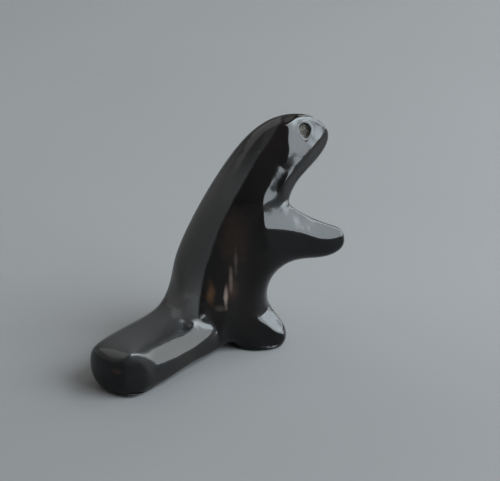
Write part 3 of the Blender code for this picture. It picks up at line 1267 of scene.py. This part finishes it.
@dataclass
class ClayBody:
    """The whole figure as one piece of clay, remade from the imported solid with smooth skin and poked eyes.

    Attributes:
        voxel: Width of the small cubes that the skin is remade from.
        smoothing: How many times the new skin is eased.
        head_level: Height above which a sharp-edged pocket counts as an eye.
        sharp: Angle between two faces from which their edge bounds a pocket.
        rubs: The places that are rubbed rounder.
        eyes: The two poked eyes, the right one first.
        refine_radius: How far from an eye's middle the skin is divided more finely.
        fine: Left, top, right and bottom of the parts of the picture that are divided more finely.
        near: How much a point has to face the eye to count as lying on the near side.
        fine_eases: How many times the finer skin is eased.
    """

    voxel: float = 0.38 * MM
    smoothing: int = 14
    head_level: float = 45.0 * MM
    sharp: float = math.radians(28.0)
    rubs: tuple[Rub, ...] = (
        Rub("whole side", (10.0, -5.0, 48.0), (14.0, 8.0, 26.0), 12),
        Rub("root of the tail", (-18.4, -10.0, 11.5), (5.5, 6.0, 5.0), 60),
    )
    eyes: tuple[EyeHollow, ...] = (
        EyeHollow(Side.RIGHT, shift=(0.45, -0.7), height=3.7),
        EyeHollow(Side.LEFT, width=2.6, height=3.0, depth=1.0, lip=0.0),
    )
    refine_radius: float = 3.0 * MM
    fine: tuple[tuple[int, int, int, int], ...] = ((262, 114, 346, 242), (212, 246, 243, 312))
    near: float = 0.15
    fine_eases: int = 3

    def build(self, source: bpy.types.Object) -> bpy.types.Object:
        """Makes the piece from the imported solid.

        Args:
            source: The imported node's object.

        Returns:
            The finished clay object.
        """
        skin, pockets = self.closed_skin(source)
        skin = self.remade(skin)
        self.refined(skin)
        pockets = Burnisher().work(skin, pockets)
        self.rubbed(skin)
        self.poked(skin, pockets)
        return skin

    def closed_skin(self, source: bpy.types.Object) -> tuple[bpy.types.Object, Pockets]:
        """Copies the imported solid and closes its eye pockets.

        Args:
            source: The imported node's object.

        Returns:
            The closed copy, and the middle and outward direction of each pocket.
        """
        form = bmesh.new()
        form.from_mesh(source.data)
        bmesh.ops.remove_doubles(form, verts=form.verts, dist=0.002 * MM)
        form.normal_update()
        groups = self.face_groups(form)
        groups.sort(key=len, reverse=True)
        doomed = []
        for group in groups[1:]:
            middle = sum((f.calc_center_median() for f in group), Vector()) / len(group)
            if middle.z > self.head_level:
                doomed.extend(group)
        bmesh.ops.delete(form, geom=doomed, context="FACES")
        loose = [v for v in form.verts if not v.link_faces]
        bmesh.ops.delete(form, geom=loose, context="VERTS")
        pockets = []
        for rim in self.open_rims(form):
            middle = sum((v.co for v in rim), Vector()) / len(rim)
            outward = sum((v.normal for v in rim), Vector()).normalized()
            pockets.append((middle, outward))
            place = tuple(round(c / MM, 2) for c in middle)
            turned = tuple(round(c, 2) for c in outward)
            LOG.info("eye rim with %d points at %s facing %s", len(rim), place, turned)
        edges = [e for e in form.edges if e.is_boundary]
        bmesh.ops.holes_fill(form, edges=edges, sides=0)
        bmesh.ops.triangulate(form, faces=[f for f in form.faces if len(f.verts) > 4])
        mesh = bpy.data.meshes.new("closed clay")
        form.to_mesh(mesh)
        form.free()
        return shown("clay_beaver", mesh), pockets

    def face_groups(self, form: bmesh.types.BMesh) -> list[list[bmesh.types.BMFace]]:
        """Sorts the faces into groups that sharp edges keep apart.

        Args:
            form: The solid.

        Returns:
            The groups.
        """
        def beside(face: bmesh.types.BMFace) -> list[bmesh.types.BMFace]:
            """Returns the faces that no sharp edge keeps apart from this one."""
            open_edges = [e for e in face.edges
                          if len(e.link_faces) != 2 or e.calc_face_angle(0.0) <= self.sharp]
            return [other for edge in open_edges for other in edge.link_faces]

        return hung_together(form.faces, beside, lambda face: face.index)

    def open_rims(self, form: bmesh.types.BMesh) -> list[list[bmesh.types.BMVert]]:
        """Finds the points of each open rim.

        Args:
            form: The solid without its eye pockets.

        Returns:
            The rims, that of the right eye first.
        """
        def beside(vert: bmesh.types.BMVert) -> list[bmesh.types.BMVert]:
            """Returns the points next to this one along an open edge."""
            return [edge.other_vert(vert) for edge in vert.link_edges if edge.is_boundary]

        rims = hung_together([v for v in form.verts if v.is_boundary], beside, lambda vert: vert)
        rims.sort(key=lambda rim: sum(v.co.y for v in rim) / len(rim))
        return rims

    def remade(self, skin: bpy.types.Object) -> bpy.types.Object:
        """Remakes the skin from even small faces and eases them.

        Args:
            skin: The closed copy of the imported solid.

        Returns:
            The same object with its new skin.
        """
        even = skin.modifiers.new("even skin", "REMESH")
        even.mode = "VOXEL"
        even.voxel_size = self.voxel
        ease = skin.modifiers.new("eased skin", "SMOOTH")
        ease.factor = 0.5
        ease.iterations = self.smoothing
        graph = bpy.context.evaluated_depsgraph_get()
        mesh = bpy.data.meshes.new_from_object(skin.evaluated_get(graph))
        skin.modifiers.clear()
        skin.data = mesh
        mesh.polygons.foreach_set("use_smooth", [True] * len(mesh.polygons))
        return skin

    def refined(self, skin: bpy.types.Object) -> None:
        """Divides the faces of the near side more finely where the slopes change most.

        Args:
            skin: The clay object.
        """
        view = Viewpoint()
        toward = view.away()
        form = bmesh.new()
        form.from_mesh(skin.data)
        form.normal_update()
        across, down, _ = view.seen(np.array([tuple(v.co) for v in form.verts]))
        chosen = np.zeros(len(form.verts), bool)
        for left, top, right, bottom in self.fine:
            chosen |= (across > left) & (across < right) & (down > top) & (down < bottom)
        for vert, inside in zip(form.verts, chosen):
            vert.tag = bool(inside) and vert.normal.dot(toward) > self.near
        edges = [e for e in form.edges if e.verts[0].tag and e.verts[1].tag]
        made = bmesh.ops.subdivide_edges(form, edges=edges, cuts=1, use_grid_fill=True)
        fresh = {v for v in made["geom_inner"] if isinstance(v, bmesh.types.BMVert)}
        fresh |= {v for e in edges for v in e.verts}
        for _ in range(self.fine_eases):
            bmesh.ops.smooth_vert(form, verts=list(fresh), factor=0.5, use_axis_x=True, use_axis_y=True,
                                  use_axis_z=True)
        form.to_mesh(skin.data)
        form.free()
        skin.data.update()

    def rubbed(self, skin: bpy.types.Object) -> None:
        """Rubs the clay rounder in each place.

        Args:
            skin: The clay object.
        """
        mesh = skin.data
        points = point_rows(mesh)
        pairs = np.zeros(len(mesh.edges) * 2, np.int32)
        mesh.edges.foreach_get("vertices", pairs)
        pairs = pairs.reshape(-1, 2)
        count = np.bincount(pairs.ravel(), minlength=len(points)).astype(float)
        for rub in self.rubs:
            away = (points - np.array(stood(rub.centre))) / np.array(scaled(rub.reach))
            weight = smooth_step(1.0 - np.sqrt((away ** 2).sum(1))) * rub.weight
            for _ in range(rub.times):
                total = np.zeros_like(points)
                for axis in range(3):
                    total[:, axis] = (np.bincount(pairs[:, 0], points[pairs[:, 1], axis], len(points))
                                      + np.bincount(pairs[:, 1], points[pairs[:, 0], axis], len(points)))
                points += (total / count[:, None] - points) * weight[:, None]
            LOG.info("rubbed the %s", rub.name)
        move_points(mesh, points)

    def poked(self, skin: bpy.types.Object, pockets: Pockets) -> None:
        """Pokes the eyes into the skin.

        Args:
            skin: The clay object.
            pockets: The middle and outward direction of each eye.
        """
        mesh = skin.data
        form = bmesh.new()
        form.from_mesh(mesh)
        for middle, _ in pockets:
            close = [e for e in form.edges
                     if all((v.co - middle).length < self.refine_radius for v in e.verts)]
            bmesh.ops.subdivide_edges(form, edges=close, cuts=1, use_grid_fill=True)
        form.normal_update()
        form.to_mesh(mesh)
        form.free()
        mesh.update()
        points = point_rows(mesh)
        outward = point_rows(mesh, "normal")
        inside = np.zeros(len(points))
        for eye, (middle, facing) in zip(self.eyes, pockets):
            depth, mask = eye.sink(points, outward, np.array(middle), np.array(facing))
            points -= depth[:, None] * np.array(facing)
            inside = np.maximum(inside, mask)
            LOG.info("poked the %s eye", eye.side.value)
        move_points(mesh, points)
        for face in mesh.polygons:
            share = sum(inside[v] for v in face.vertices) / len(face.vertices)
            face.material_index = 1 if share > 0.5 else 0
            face.use_smooth = True

    def dress(self, skin: bpy.types.Object) -> None:
        """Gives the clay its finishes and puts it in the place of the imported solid.

        Args:
            skin: The clay object.
        """
        skin.data.materials.append(BurnishedClay().build())
        skin.data.materials.append(RawClay().build())
        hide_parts(FIGURE_NODE)
        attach(skin, FIGURE_BODY)


@dataclass
class Table:
    """The grey sheet under and behind the figure."""

    half_width: float = 3.0

    def build(self) -> bpy.types.Object:
        """Lays the sheet down as the floor, which is no part of the figure.

        Returns:
            The floor.
        """
        mesh = bpy.data.meshes.new("grey_sheet")
        r = self.half_width
        mesh.from_pydata([(-r, -r, 0.0), (r, -r, 0.0), (r, r, 0.0), (-r, r, 0.0)], [], [(0, 1, 2, 3)])
        sheet = shown("grey_sheet", mesh)
        mesh.materials.append(TableTop().build())
        return sheet


@dataclass(frozen=True)
class Lamp:
    """One soft lamp, placed by its direction and distance from the figure.

    Attributes:
        name: What gives the light.
        azimuth: Degrees to the right of the viewer's side.
        elevation: Degrees above the table.
        distance: Metres from the figure.
        width, height: Its sizes in metres.
        power: Its power in watts.
        colour: The colour of its light.
    """

    name: str
    azimuth: float
    elevation: float
    distance: float
    width: float
    height: float
    power: float
    colour: Colour = (1.0, 1.0, 1.0)

    def build(self, target: Vector) -> bpy.types.Object:
        """Hangs the lamp so that it faces the figure.

        Args:
            target: The point that it faces.

        Returns:
            The lamp's object.
        """
        data = bpy.data.lights.new(self.name, "AREA")
        data.shape = "RECTANGLE"
        data.size = self.width
        data.size_y = self.height
        data.energy = self.power
        data.color = self.colour
        lamp = shown(self.name, data)
        turn = math.radians(self.azimuth)
        rise = math.radians(self.elevation)
        away = Vector((math.sin(turn) * math.cos(rise), -math.cos(turn) * math.cos(rise), math.sin(rise)))
        lamp.location = target + away * self.distance
        lamp.rotation_euler = away.to_track_quat("Z", "Y").to_euler()
        return lamp


@dataclass
class Studio:
    """The window light, the dim room and the camera."""

    view: Viewpoint = Viewpoint()
    sensor: float = 36.0
    room: Colour = (0.205, 0.21, 0.215)
    lamps: tuple[Lamp, ...] = (
        Lamp("window", 55.0, 30.0, 1.2, 0.62, 1.50, 26.0, (0.84, 0.94, 1.0)),
        Lamp("bright pane", 79.0, 30.0, 1.2, 0.45, 1.50, 29.0, (0.82, 0.93, 1.0)),
        Lamp("window side", 117.0, 28.0, 1.2, 1.28, 1.40, 30.0, (0.93, 0.98, 1.0)),
        Lamp("ceiling", -100.0, 62.0, 1.5, 2.0, 2.0, 14.0, (1.0, 1.0, 0.98)),
        Lamp("left wall", -85.0, 12.0, 1.5, 3.0, 0.70, 2.2, (1.0, 1.0, 0.97)),
        Lamp("back wall", -165.0, 42.0, 1.5, 1.6, 1.3, 0.5, (1.0, 1.0, 0.98)),
    )

    def build(self) -> None:
        """Builds the lamps, the room's dim light and the camera."""
        target = Vector(self.view.target) * MM
        for lamp in self.lamps:
            lamp.build(target)
            LOG.info("hung %s", lamp.name)
        self.light_room()
        self.set_camera()

    def light_room(self) -> None:
        """Fills the room with dim even light."""
        world = bpy.data.worlds.new("dim room")
        bpy.context.scene.world = world
        world.use_nodes = True
        back = next(n for n in world.node_tree.nodes if n.type == "BACKGROUND")
        back.inputs["Color"].default_value = (*self.room, 1.0)
        back.inputs["Strength"].default_value = 1.0
        bpy.context.scene.view_settings.view_transform = "Standard"

    def set_camera(self) -> None:
        """Places the camera where the figure is seen from."""
        data = bpy.data.cameras.new("camera")
        data.sensor_width = self.sensor
        data.sensor_fit = "HORIZONTAL"
        data.lens = self.view.focal_pixels * self.sensor / self.view.width_pixels
        data.clip_start = 0.01
        data.clip_end = 20.0
        camera = shown("camera", data)
        camera.location = self.view.eye()
        camera.rotation_euler = self.view.away().to_track_quat("Z", "Y").to_euler()
        bpy.context.scene.camera = camera


def main() -> None:
    """Builds the figure, the table and the studio, in that order."""
    logging.basicConfig(level=logging.INFO, format="%(name)s: %(message)s")
    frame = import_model()
    body = ClayBody()
    clay = body.build(frame["nodes"][FIGURE_NODE])
    body.dress(clay)
    LOG.info("built %s with %d faces", clay.name, len(clay.data.polygons))
    table = Table().build()
    LOG.info("built %s", table.name)
    Studio().build()


if __name__ == "__main__":
    main()
